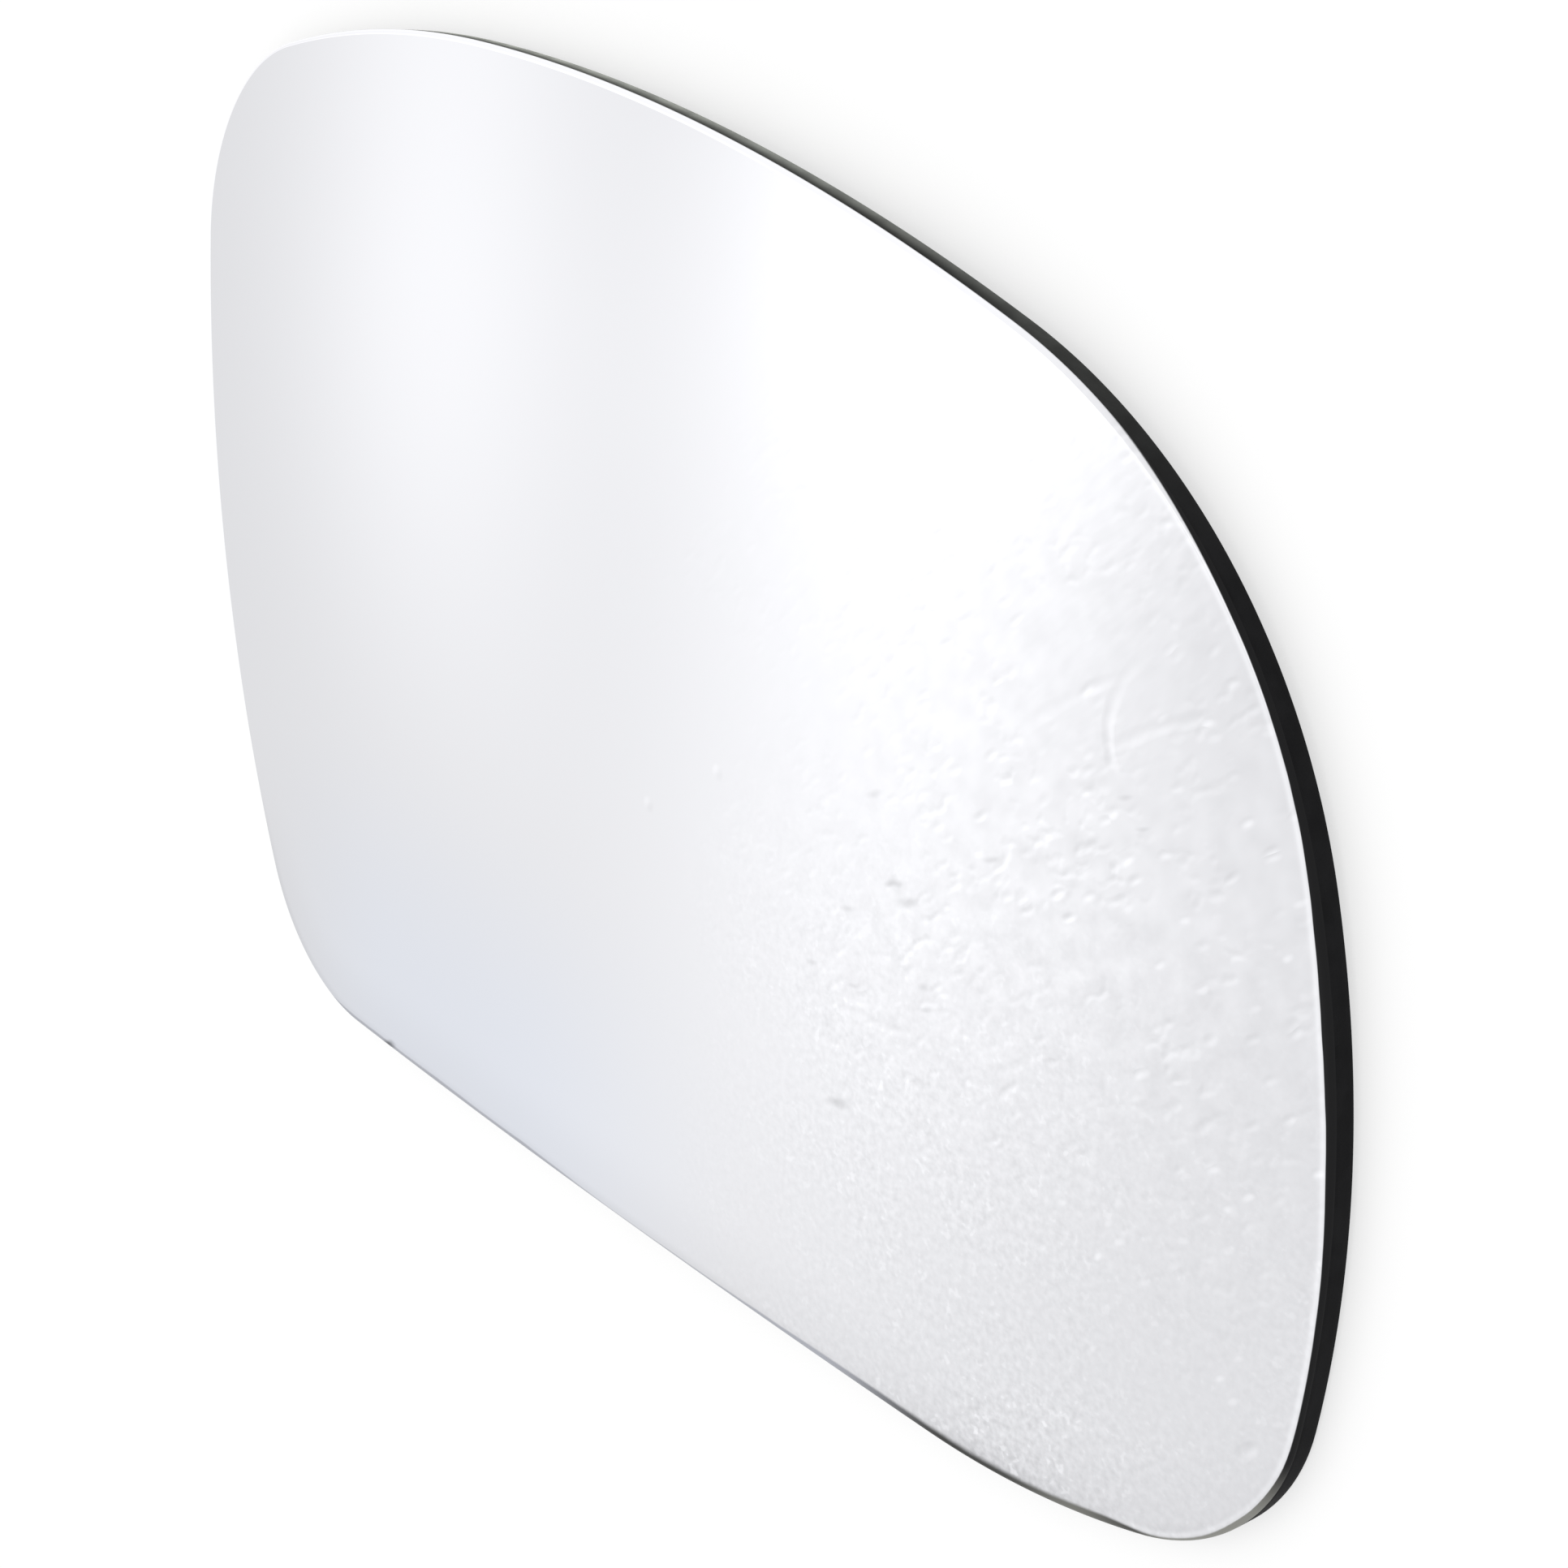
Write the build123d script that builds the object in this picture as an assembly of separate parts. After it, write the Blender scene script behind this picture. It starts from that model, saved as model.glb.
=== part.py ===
from build123d import *
import os
from math import cos, radians, sin

import numpy as np

# Glass of a car door mirror: one convex plate, cut to outline from bent sheet, with a ground edge.
# The plate lies on its rim, mirror face up. +X runs along the straight bottom edge towards the outer
# side, +Y towards the top edge, +Z out of the face. Lengths are in millimetres, angles in degrees.

# Overall sizes
WIDTH = 166.0
HEIGHT = 107.0
THICKNESS = 2.7
FACE_RADIUS = 1400.0

# Bevel ground along the front and the back rim
ARRIS = 0.4

# Radii of the corners. The radii of the three long sides follow from the overall sizes.
HEEL_RADIUS = 76.0
LOWER_OUTER_RADIUS = 18.0
SHOULDER_RADIUS = 56.0
CROWN_RADIUS = 141.5
UPPER_INNER_RADIUS = 22.0
LOWER_INNER_RADIUS = 22.0

# Angle that the outline turns through in each stretch, counter-clockwise from the bottom edge
HEEL_TURN = 17.2
LOWER_OUTER_TURN = 68.4
OUTER_SIDE_TURN = 24.7
SHOULDER_TURN = 51.0
TOP_TURN = 17.0
CROWN_TURN = 14.9
UPPER_INNER_TURN = 79.5
INNER_SIDE_TURN = 24.0

FULL_TURN = 360.0
OUTWARD, BACK, DOWNWARD = 90.0, 180.0, 270.0

CORNER_RADII = {
    "heel": HEEL_RADIUS,
    "lower outer corner": LOWER_OUTER_RADIUS,
    "shoulder": SHOULDER_RADIUS,
    "crown": CROWN_RADIUS,
    "upper inner corner": UPPER_INNER_RADIUS,
    "lower inner corner": LOWER_INNER_RADIUS,
}
LONG_SIDES = ("outer side", "top", "inner side")
TURNS = {
    "heel": HEEL_TURN,
    "lower outer corner": LOWER_OUTER_TURN,
    "outer side": OUTER_SIDE_TURN,
    "shoulder": SHOULDER_TURN,
    "top": TOP_TURN,
    "crown": CROWN_TURN,
    "upper inner corner": UPPER_INNER_TURN,
    "inner side": INNER_SIDE_TURN,
}
TURNS["lower inner corner"] = FULL_TURN - sum(TURNS.values())


def heading_spans():
    """First and last heading of each stretch, measured from +X."""
    spans = {}
    heading = 0.0
    for name, turn in TURNS.items():
        spans[name] = (heading, heading + turn)
        heading += turn
    return spans


def clipped(span, low, high):
    """The part of a span of headings that lies between two headings."""
    return tuple(min(max(heading, low), high) for heading in span)


def run(span):
    """Travel along +X of an arc of unit radius that turns through a span of headings."""
    return sin(radians(span[1])) - sin(radians(span[0]))


def rise(span):
    """Travel along +Y of the same arc."""
    return cos(radians(span[0])) - cos(radians(span[1]))


def extents(span):
    """Climb, fall and reach from outermost to innermost point of an arc of unit radius."""
    climb = rise(clipped(span, 0.0, BACK))
    fall = -rise(clipped(span, BACK, FULL_TURN))
    reach = -run(clipped(span, OUTWARD, DOWNWARD))
    return np.array((climb, fall, reach))


def all_radii(spans):
    """Corner radii, with the side radii at which the outline is as wide and high as it should be."""
    corners = sum(radius * extents(spans[name]) for name, radius in CORNER_RADII.items())
    sides = np.column_stack([extents(spans[name]) for name in LONG_SIDES])
    wanted = np.array((HEIGHT, HEIGHT, WIDTH)) - corners
    side_radii = np.linalg.solve(sides, wanted)
    return CORNER_RADII | {name: float(radius) for name, radius in zip(LONG_SIDES, side_radii)}


def glass_outline():
    """Straight bottom edge closed by a chain of tangent arcs, centred on the origin."""
    spans = heading_spans()
    radii = all_radii(spans)
    bottom_length = -sum(radii[name] * run(span) for name, span in spans.items())
    corner_reach = sum(radii[name] * run(clipped(span, 0.0, OUTWARD)) for name, span in spans.items())
    bottom_end = WIDTH / 2 - corner_reach
    edge = Line((bottom_end - bottom_length, -HEIGHT / 2), (bottom_end, -HEIGHT / 2))
    edges = [edge]
    for name, turn in TURNS.items():
        edge = JernArc(edge @ 1, edge % 1, radii[name], turn)
        edges.append(edge)
    return make_face(edges)


def bent_sheet():
    """Bent glass sheet between two concentric spheres, its highest point at the origin."""
    centre = Pos(0, 0, -FACE_RADIUS) * Rot(0, 90, 0)
    return centre * (Sphere(FACE_RADIUS) - Sphere(FACE_RADIUS - THICKNESS))


def mirror_glass():
    """Plate cut to outline from the bent sheet, its rims bevelled, resting on Z = 0."""
    cutter_reach = FACE_RADIUS / 2
    cutter = extrude(glass_outline(), amount=cutter_reach, both=True)
    plate = (bent_sheet() & cutter).solid()
    faces = plate.faces().filter_by(GeomType.SPHERE)
    rims = [edge for face in faces for edge in face.edges()]
    plate = chamfer(rims, ARRIS)
    return Pos(0, 0, -plate.bounding_box().min.Z) * plate


os.makedirs("parts", exist_ok=True)
export_step(mirror_glass(), "parts/mirror_glass.step")
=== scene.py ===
from math import cos, pi, radians, sin, tan

import bpy
import numpy as np
from bpy.props import FloatProperty, FloatVectorProperty, IntProperty, PointerProperty
from mathutils import Matrix, Vector


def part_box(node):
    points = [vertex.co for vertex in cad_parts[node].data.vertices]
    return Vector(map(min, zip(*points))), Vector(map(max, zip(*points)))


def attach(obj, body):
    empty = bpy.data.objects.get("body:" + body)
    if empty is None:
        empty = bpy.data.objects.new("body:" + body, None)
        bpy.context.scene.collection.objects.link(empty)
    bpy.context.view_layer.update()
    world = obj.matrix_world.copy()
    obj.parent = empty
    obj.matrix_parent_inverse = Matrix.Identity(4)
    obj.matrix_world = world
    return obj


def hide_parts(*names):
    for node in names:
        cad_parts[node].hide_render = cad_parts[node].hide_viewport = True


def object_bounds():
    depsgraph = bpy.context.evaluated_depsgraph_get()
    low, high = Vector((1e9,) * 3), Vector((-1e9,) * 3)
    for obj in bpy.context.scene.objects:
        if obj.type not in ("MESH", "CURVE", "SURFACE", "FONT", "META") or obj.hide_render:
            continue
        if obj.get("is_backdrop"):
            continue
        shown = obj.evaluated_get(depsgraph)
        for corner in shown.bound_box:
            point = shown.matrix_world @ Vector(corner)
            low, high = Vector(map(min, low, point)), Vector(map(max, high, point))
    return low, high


bl_info = {
    "name": "Door Mirror Glass",
    "version": (1, 0, 0),
    "blender": (4, 5, 0),
    "location": "View3D > Sidebar > Mirror Glass",
    "description": "Makes a convex door mirror glass, and the light tent that it is shown in",
    "category": "Object",
}

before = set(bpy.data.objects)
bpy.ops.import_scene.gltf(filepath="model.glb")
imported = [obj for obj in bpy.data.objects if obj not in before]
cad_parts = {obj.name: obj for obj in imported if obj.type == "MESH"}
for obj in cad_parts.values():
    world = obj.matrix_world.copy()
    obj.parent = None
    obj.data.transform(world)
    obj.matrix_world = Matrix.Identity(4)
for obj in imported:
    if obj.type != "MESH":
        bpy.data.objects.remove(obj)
CAD_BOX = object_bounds()
GLASS_LOW, GLASS_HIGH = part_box("mirror_glass")

# Lengths are in metres, in the frame of the CAD part: +X along the straight bottom edge towards the
# outer side, +Y towards the top edge, +Z out of the mirror face.
MM = 0.001

# Stretches of the outline after the straight bottom edge, counter-clockwise
STRETCHES = (
    "heel",
    "lower_outer",
    "outer_side",
    "shoulder",
    "top",
    "crown",
    "upper_inner",
    "inner_side",
    "lower_inner",
)
LONG_SIDES = ("outer_side", "top", "inner_side")
OUTWARD, BACK, DOWNWARD, FULL_TURN = pi / 2, pi, 3 * pi / 2, 2 * pi

# Coats of the plate, as numbered on its faces
FILM, EDGE, PAINT = 0, 1, 2


# Properties that a user would change

def length(name, description, default):
    """A length in metres."""
    return FloatProperty(name=name, description=description, default=default, unit="LENGTH", precision=5)


def angle(name, description, default):
    """An angle, given in degrees."""
    return FloatProperty(name=name, description=description, default=radians(default), subtype="ANGLE")


def share(name, description, default):
    """A plain number with no unit."""
    return FloatProperty(name=name, description=description, default=default, precision=3)


def colour(name, description, default):
    """A linear colour."""
    return FloatVectorProperty(
        name=name, description=description, default=default, subtype="COLOR", min=0.0, max=1.0
    )


class GlassSizes(bpy.types.PropertyGroup):
    """Sizes of the plate and its outline"""

    width: length("Width", "Along the straight bottom edge", GLASS_HIGH.x - GLASS_LOW.x)
    height: length("Height", "From the bottom edge to the top", GLASS_HIGH.y - GLASS_LOW.y)
    apex: length("Apex", "Highest point of the face above the floor", GLASS_HIGH.z)
    thickness: length("Thickness", "Thickness of the glass", 2.7 * MM)
    face_radius: length("Face radius", "Radius of the convex face", 1400 * MM)
    bevel: length("Bevel", "Legs of the bevel along both rims", 0.4 * MM)
    roundness: share("Roundness", "How far the bevels are rounded, from 0 to 1", 0.6)

    heel_radius: length("Heel radius", "Next to the bottom edge, towards the outer side", 76 * MM)
    lower_outer_radius: length("Lower outer radius", "Corner below the outer side", 18 * MM)
    shoulder_radius: length("Shoulder radius", "Between the outer side and the top", 56 * MM)
    crown_radius: length("Crown radius", "Highest stretch of the top", 141.5 * MM)
    upper_inner_radius: length("Upper inner radius", "Corner above the inner side", 22 * MM)
    lower_inner_radius: length("Lower inner radius", "Corner below the inner side", 22 * MM)

    heel_turn: angle("Heel turn", "Angle that the heel turns through", 17.2)
    lower_outer_turn: angle("Lower outer turn", "Angle that the lower outer corner turns through", 68.4)
    outer_side_turn: angle("Outer side turn", "Angle that the outer side turns through", 24.7)
    shoulder_turn: angle("Shoulder turn", "Angle that the shoulder turns through", 51.0)
    top_turn: angle("Top turn", "Angle that the top turns through", 17.0)
    crown_turn: angle("Crown turn", "Angle that the crown turns through", 14.9)
    upper_inner_turn: angle("Upper inner turn", "Angle that the upper inner corner turns through", 79.5)
    inner_side_turn: angle("Inner side turn", "Angle that the inner side turns through", 24.0)

    cells: IntProperty(name="Cells", description="Cells of the mesh across the face", default=128, min=16)


class GlassFinish(bpy.types.PropertyGroup):
    """Coats of the plate"""

    film_colour: colour("Film", "Reflecting film", (0.740, 0.742, 0.766))
    cool_colour: colour("Cool film", "Reflecting film at the lower inner corner", (0.722, 0.746, 0.808))
    film_roughness: share("Film roughness", "Roughness of the reflecting film", 0.1)
    dip_depth: length("Dip depth", "Depth of the dips in the film", 0.006 * MM)
    # The edge's black is partly its own dark, partly painted shade; its pale grey green partly painted sheen
    edge_colour: colour("Edge", "Ground edge along the outer side", (0.009, 0.009, 0.0095))
    pale_edge_colour: colour("Pale edge", "Ground edge towards the inner side", (0.202, 0.209, 0.191))
    # Frost is partly the ground glass's own dark, partly painted shade; grey and blue frost are painted
    # reflection
    frost_colour: colour("Frost", "Ground margin of the face along the bottom", (0.052, 0.052, 0.050))
    grey_frost_colour: colour("Grey frost", "Ground margin at the lower outer corner", (0.355, 0.355, 0.325))
    blue_frost_colour: colour("Blue frost", "Ground margin at the lower inner corner", (0.385, 0.395, 0.435))
    paint_colour: colour("Back paint", "Protective paint on the back", (0.075, 0.078, 0.082))


class TentSettings(bpy.types.PropertyGroup):
    """Light tent, floor and camera"""

    floor_colour: colour("Floor", "Pale floor", (0.8, 0.8, 0.8))
    tent_level: share("Tent level", "Brightness of the tent's cloth", 1.0)
    side_glow: share("Side glow", "Brightness added by the large lamp at the inner side", 1.0)
    low_glow: share("Low glow", "Brightness added by the small lamp below it", 0.42)
    top_glow: share("Top glow", "Brightness added by the lamp above", 0.2)
    lens: FloatProperty(name="Lens", description="Focal length", default=57.09, unit="CAMERA")
    distance: length("Camera distance", "From the camera to the point that it looks at", 210.56 * MM)
    azimuth: angle("Camera azimuth", "From +X towards +Y", 25.77)
    elevation: angle("Camera elevation", "Above the floor", 39.17)
    roll: angle("Camera roll", "Turn of the camera about its own axis", -101.59)


# Node trees

class Wire:
    """Output socket of a node. Arithmetic on wires adds Math nodes to their tree."""

    def __init__(self, graph, socket):
        self.graph = graph
        self.socket = socket

    def __getitem__(self, output):
        """Another output of the same node."""
        return Wire(self.graph, pick(self.socket.node.outputs, output))

    def math(self, operation, *others):
        """Math node with this wire first."""
        values = dict(enumerate((self, *others)))
        return self.graph.add("ShaderNodeMath", {"operation": operation}, values)

    def reflected(self, operation, other):
        """Math node with this wire second."""
        return self.graph.add("ShaderNodeMath", {"operation": operation}, {0: other, 1: self})

    def vector(self, operation, *others):
        """Vector Math node with this wire first."""
        values = dict(enumerate((self, *others)))
        return self.graph.add("ShaderNodeVectorMath", {"operation": operation}, values)

    def scaled(self, factor):
        """Colour or vector times a number."""
        values = {"Vector": self, "Scale": factor}
        return self.graph.add("ShaderNodeVectorMath", {"operation": "SCALE"}, values)

    def mapped(self, low, high, start=0.0, end=1.0, way="SMOOTHSTEP"):
        """Step from start at low to end at high, level beyond them."""
        values = {"Value": self, "From Min": low, "From Max": high, "To Min": start, "To Max": end}
        return self.graph.add("ShaderNodeMapRange", {"interpolation_type": way}, values)

    def bell(self, middle, spread):
        """Bell curve about a middle."""
        off = self - middle
        return (off * off * (-0.5 / spread**2)).math("EXPONENT")

    def __add__(self, other):
        return self.math("ADD", other)

    def __sub__(self, other):
        return self.math("SUBTRACT", other)

    def __rsub__(self, other):
        return self.reflected("SUBTRACT", other)

    def __mul__(self, other):
        return self.math("MULTIPLY", other)

    def __truediv__(self, other):
        return self.math("DIVIDE", other)

    def __rtruediv__(self, other):
        return self.reflected("DIVIDE", other)

    def __neg__(self):
        return self.math("MULTIPLY", -1.0)

    def __abs__(self):
        return self.math("ABSOLUTE")

    __radd__ = __add__
    __rmul__ = __mul__


def pick(sockets, key):
    """Socket of a node by number, identifier or name."""
    if isinstance(key, int):
        return sockets[key]
    for socket in sockets:
        if key == socket.identifier:
            return socket
    return sockets[key]


class Graph:
    """Node tree that gets its nodes by type, settings and socket values."""

    def __init__(self, tree):
        self.tree = tree
        tree.nodes.clear()

    def add(self, kind, settings=None, sockets=None):
        """Add a node, its settings first, and give the wire of its first output."""
        node = self.tree.nodes.new(kind)
        for name, value in (settings or {}).items():
            setattr(node, name, value)
        for key, value in (sockets or {}).items():
            self.put(pick(node.inputs, key), value)
        return Wire(self, node.outputs[0]) if node.outputs else node

    def put(self, socket, value):
        """Link a wire or several to a socket, or set its value."""
        if isinstance(value, (list, tuple)) and value and isinstance(value[0], Wire):
            for wire in value:
                self.tree.links.new(wire.socket, socket)
        elif isinstance(value, Wire):
            self.tree.links.new(value.socket, socket)
        else:
            socket.default_value = value

    def mix(self, factor, first, second):
        """Blend of two colours."""
        values = {"Factor_Float": factor, "A_Color": first, "B_Color": second}
        return self.add("ShaderNodeMix", {"data_type": "RGBA"}, values)["Result_Color"]

    def noise(self, place, scale, detail, dimensions="2D"):
        """Noise on a plane or in space."""
        values = {"Vector": place, "Scale": scale, "Detail": detail}
        return self.add("ShaderNodeTexNoise", {"noise_dimensions": dimensions}, values)


def rgba(value):
    """Colour with full alpha."""
    return (*value, 1.0)


# Outline of the glass

# Steps of the outline's curve in each stretch
CURVE_STEPS = 64


def spans_of(sizes):
    """First and last heading of each stretch, measured from +X."""
    spans = {}
    heading = 0.0
    for name in STRETCHES:
        turn = getattr(sizes, name + "_turn", FULL_TURN - heading)
        spans[name] = (heading, heading + turn)
        heading += turn
    return spans


def clipped(span, low, high):
    """The part of a span of headings that lies between two headings."""
    return tuple(min(max(heading, low), high) for heading in span)


def run(span):
    """Travel along +X of an arc of unit radius."""
    return sin(span[1]) - sin(span[0])


def rise(span):
    """Travel along +Y of an arc of unit radius."""
    return cos(span[0]) - cos(span[1])


def extents(span):
    """Climb, fall and reach of an arc of unit radius."""
    climb = rise(clipped(span, 0.0, BACK))
    fall = -rise(clipped(span, BACK, FULL_TURN))
    reach = -run(clipped(span, OUTWARD, DOWNWARD))
    return np.array((climb, fall, reach))


def radii_of(sizes, spans):
    """Corner radii, with the side radii at which the outline is as wide and high as it should be."""
    radii = {name: getattr(sizes, name + "_radius") for name in STRETCHES if name not in LONG_SIDES}
    corners = sum(radius * extents(spans[name]) for name, radius in radii.items())
    sides = np.column_stack([extents(spans[name]) for name in LONG_SIDES])
    wanted = np.array((sizes.height, sizes.height, sizes.width)) - corners
    radii.update(zip(LONG_SIDES, np.linalg.solve(sides, wanted)))
    return radii


def outline_knots(sizes):
    """Ends of the stretches, each with its heading and the handle length of the stretch after it."""
    spans = spans_of(sizes)
    radii = radii_of(sizes, spans)
    bottom_length = -sum(radii[name] * run(span) for name, span in spans.items())
    corner_reach = sum(radii[name] * run(clipped(span, 0.0, OUTWARD)) for name, span in spans.items())
    bottom_end = sizes.width / 2 - corner_reach
    place = np.array((bottom_end - bottom_length, -sizes.height / 2))
    knots = [(place, 0.0, bottom_length / 3)]
    place = place + (bottom_length, 0.0)
    for name, span in spans.items():
        handle = 4 / 3 * tan((span[1] - span[0]) / 4) * radii[name]
        knots.append((place, span[0], handle))
        place = place + np.array((run(span), rise(span))) * radii[name]
    return knots


def outline_curve(sizes):
    """Closed curve of the outline, with one span for each stretch."""
    knots = outline_knots(sizes)
    curve = bpy.data.curves.new("glass_outline", "CURVE")
    curve.dimensions = "3D"
    spline = curve.splines.new("BEZIER")
    spline.bezier_points.add(len(knots) - 1)
    spline.use_cyclic_u = True
    spline.resolution_u = CURVE_STEPS
    for index, (place, heading, handle) in enumerate(knots):
        point = spline.bezier_points[index]
        point.handle_left_type = point.handle_right_type = "FREE"
        along = Vector((cos(heading), sin(heading), 0.0))
        point.co = (*place, 0.0)
        point.handle_right = point.co + along * handle
        point.handle_left = point.co - along * knots[index - 1][2]
    outline = bpy.data.objects.new("glass_outline", curve)
    bpy.context.scene.collection.objects.link(outline)
    return outline


# Plate

# Flat margin that keeps the shading of the faces clear of the bevels
LAND = 0.04 * MM
WELD = 0.001 * MM
# Rows of the strips round the rim
LAND_ROWS = 1
BEVEL_ROWS = 6
WALL_ROWS = 4
# Sides of a face's grid, each drawn to a quarter of the outline, and the turn of the grid, in quarters, that
# brings its corners to the corners of the glass
SIDES = 4
GRID_TURN = 57 / 128


def sphere_drop(square, radius):
    """How far a sphere has dropped at a squared distance from its axis."""
    return square / (radius + (radius * radius - square).math("SQRT"))


class PlateTree:
    """Geometry nodes that cut the outline from a bent sheet, with bevelled rims."""

    INPUTS = {
        "Outline": "NodeSocketObject",
        "Apex": "NodeSocketFloat",
        "Face radius": "NodeSocketFloat",
        "Thickness": "NodeSocketFloat",
        "Bevel": "NodeSocketFloat",
        "Roundness": "NodeSocketFloat",
        "Cells": "NodeSocketInt",
        "Film": "NodeSocketMaterial",
        "Ground edge": "NodeSocketMaterial",
        "Back paint": "NodeSocketMaterial",
    }

    def __init__(self):
        self.tree = bpy.data.node_groups.new("bent_plate", "GeometryNodeTree")
        self.graph = Graph(self.tree)
        interface = self.tree.interface
        interface.new_socket("Plate", in_out="OUTPUT", socket_type="NodeSocketGeometry")
        self.identifiers = {
            name: interface.new_socket(name, in_out="INPUT", socket_type=kind).identifier
            for name, kind in self.INPUTS.items()
        }
        self.sizes = self.graph.add("NodeGroupInput")
        self.bevel = self.sizes["Bevel"]
        info = self.graph.add("GeometryNodeObjectInfo", None, {"Object": self.sizes["Outline"]})
        self.outline = info["Geometry"]
        self.build()

    def rim(self, along, inset):
        """Point of the outline moved inwards, and the outward direction there."""
        values = {"Curves": self.outline, "Factor": along}
        sample = self.graph.add("GeometryNodeSampleCurve", {"mode": "FACTOR"}, values)
        across = sample["Tangent"].vector("CROSS_PRODUCT", (0.0, 0.0, 1.0))
        outward = across.vector("NORMALIZE")
        return sample["Position"].vector("SUBTRACT", outward.scaled(inset)), outward

    def placed(self, point, depth, lift):
        """Point at a share of the way from the front to the back of the sheet, and a little higher."""
        flat = self.graph.add("ShaderNodeSeparateXYZ", None, {"Vector": point})
        square = flat["X"] * flat["X"] + flat["Y"] * flat["Y"]
        radius, thickness = self.sizes["Face radius"], self.sizes["Thickness"]
        front = sphere_drop(square, radius)
        back = sphere_drop(square, radius - thickness) + thickness
        height = self.sizes["Apex"] - front - (back - front) * depth + lift
        return self.graph.add("ShaderNodeCombineXYZ", None, {"X": flat["X"], "Y": flat["Y"], "Z": height})

    def grid(self, side, columns, rows):
        """Flat square grid, and where its points lie on it."""
        values = {"Size X": side, "Size Y": side, "Vertices X": columns + 1, "Vertices Y": rows + 1}
        mesh = self.graph.add("GeometryNodeMeshGrid", None, values)
        position = self.graph.add("GeometryNodeInputPosition")
        place = self.graph.add("ShaderNodeSeparateXYZ", None, {0: position})
        return mesh, place["X"], place["Y"]

    def stored(self, mesh, name, kind, domain, value):
        """Grid with one more attribute."""
        settings = {"data_type": kind, "domain": domain}
        values = {"Geometry": mesh, "Name": name, "Value": value}
        return self.graph.add("GeometryNodeStoreNamedAttribute", settings, values)

    def laid(self, mesh, rim_distance, depth, coat, position):
        """Grid with its attributes, moved to its place."""
        mesh = self.stored(mesh, "rim_distance", "FLOAT", "POINT", rim_distance)
        mesh = self.stored(mesh, "sheet_depth", "FLOAT", "POINT", depth)
        mesh = self.stored(mesh, "coat", "INT", "FACE", coat)
        return self.graph.add("GeometryNodeSetPosition", None, {"Geometry": mesh, "Position": position})

    def face(self, depth, coat):
        """Front or back face: a square grid whose rings are drawn to the outline."""
        cells = self.sizes["Cells"]
        mesh, x, y = self.grid(2.0, cells, cells)
        ring = abs(x).math("MAXIMUM", abs(y))
        beside = abs(x).math("LESS_THAN", abs(y))
        on_x = (y / x) / (2 * SIDES) + x.math("LESS_THAN", 0.0) / 2
        on_y = y.math("LESS_THAN", 0.0) / 2 + 1 / SIDES - (x / y) / (2 * SIDES)
        along = (on_x * (1.0 - beside) + on_y * beside + GRID_TURN / SIDES).math("FRACT")
        inset = self.bevel + LAND
        edge_point, outward = self.rim(along, inset)
        reach = edge_point.vector("DOT_PRODUCT", outward)["Value"]
        rim_distance = (1.0 - ring) * reach + inset
        position = self.placed(edge_point.scaled(ring), depth, 0.0)
        return self.laid(mesh, rim_distance, depth, coat, position)

    def strip(self, rows, profile, coat):
        """Strip round the rim. The profile gives inset, depth and lift from the share across."""
        mesh, x, y = self.grid(1.0, self.sizes["Cells"] * SIDES, rows)
        across = y + 0.5
        inset, depth, lift = profile(across)
        point, _ = self.rim(x + 0.5, inset)
        return self.laid(mesh, inset, depth, coat, self.placed(point, depth, lift))

    def rounded(self, across):
        """Shares of a bevel's two legs, between a straight bevel and a rounded one."""
        bend = across * (pi / 2)
        roundness = self.sizes["Roundness"]
        outwards = across + (bend.math("SINE") - across) * roundness
        downwards = across + (1.0 - bend.math("COSINE") - across) * roundness
        return outwards, downwards

    def front_land(self, across):
        return self.bevel + LAND * (1.0 - across), 0.0, 0.0

    def front_bevel(self, across):
        outwards, downwards = self.rounded(across)
        return self.bevel * (1.0 - outwards), 0.0, -(self.bevel * downwards)

    def wall(self, across):
        return 0.0, across, self.bevel * (across * 2 - 1.0)

    def back_bevel(self, across):
        outwards, upwards = self.rounded(1.0 - across)
        return self.bevel * (1.0 - outwards), 1.0, self.bevel * upwards

    def back_land(self, across):
        return self.bevel + LAND * across, 1.0, 0.0

    def build(self):
        """Join the front face to the strips and the back face, and give each coat its material."""
        turned = [
            self.strip(LAND_ROWS, self.front_land, FILM),
            self.strip(BEVEL_ROWS, self.front_bevel, FILM),
            self.strip(WALL_ROWS, self.wall, EDGE),
            self.strip(BEVEL_ROWS, self.back_bevel, EDGE),
            self.strip(LAND_ROWS, self.back_land, PAINT),
            self.face(1.0, PAINT),
        ]
        add = self.graph.add
        turned = add("GeometryNodeFlipFaces", None, {0: add("GeometryNodeJoinGeometry", None, {0: turned})})
        plate = add("GeometryNodeJoinGeometry", None, {0: [self.face(0.0, FILM), turned]})
        plate = add("GeometryNodeMergeByDistance", None, {"Geometry": plate, "Distance": WELD})
        plate = add("GeometryNodeSetShadeSmooth", None, {"Geometry": plate})
        plate = add("GeometryNodeRealizeInstances", None, {"Geometry": plate})
        coat = add("GeometryNodeInputNamedAttribute", {"data_type": "INT"}, {"Name": "coat"})
        same = {"data_type": "INT", "operation": "EQUAL"}
        for number, name in ((FILM, "Film"), (EDGE, "Ground edge"), (PAINT, "Back paint")):
            chosen = add("FunctionNodeCompare", same, {"A_INT": coat, "B_INT": number})
            values = {"Geometry": plate, "Selection": chosen, "Material": self.sizes[name]}
            plate = add("GeometryNodeSetMaterial", None, values)
        add("NodeGroupOutput", None, {"Plate": plate})


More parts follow.
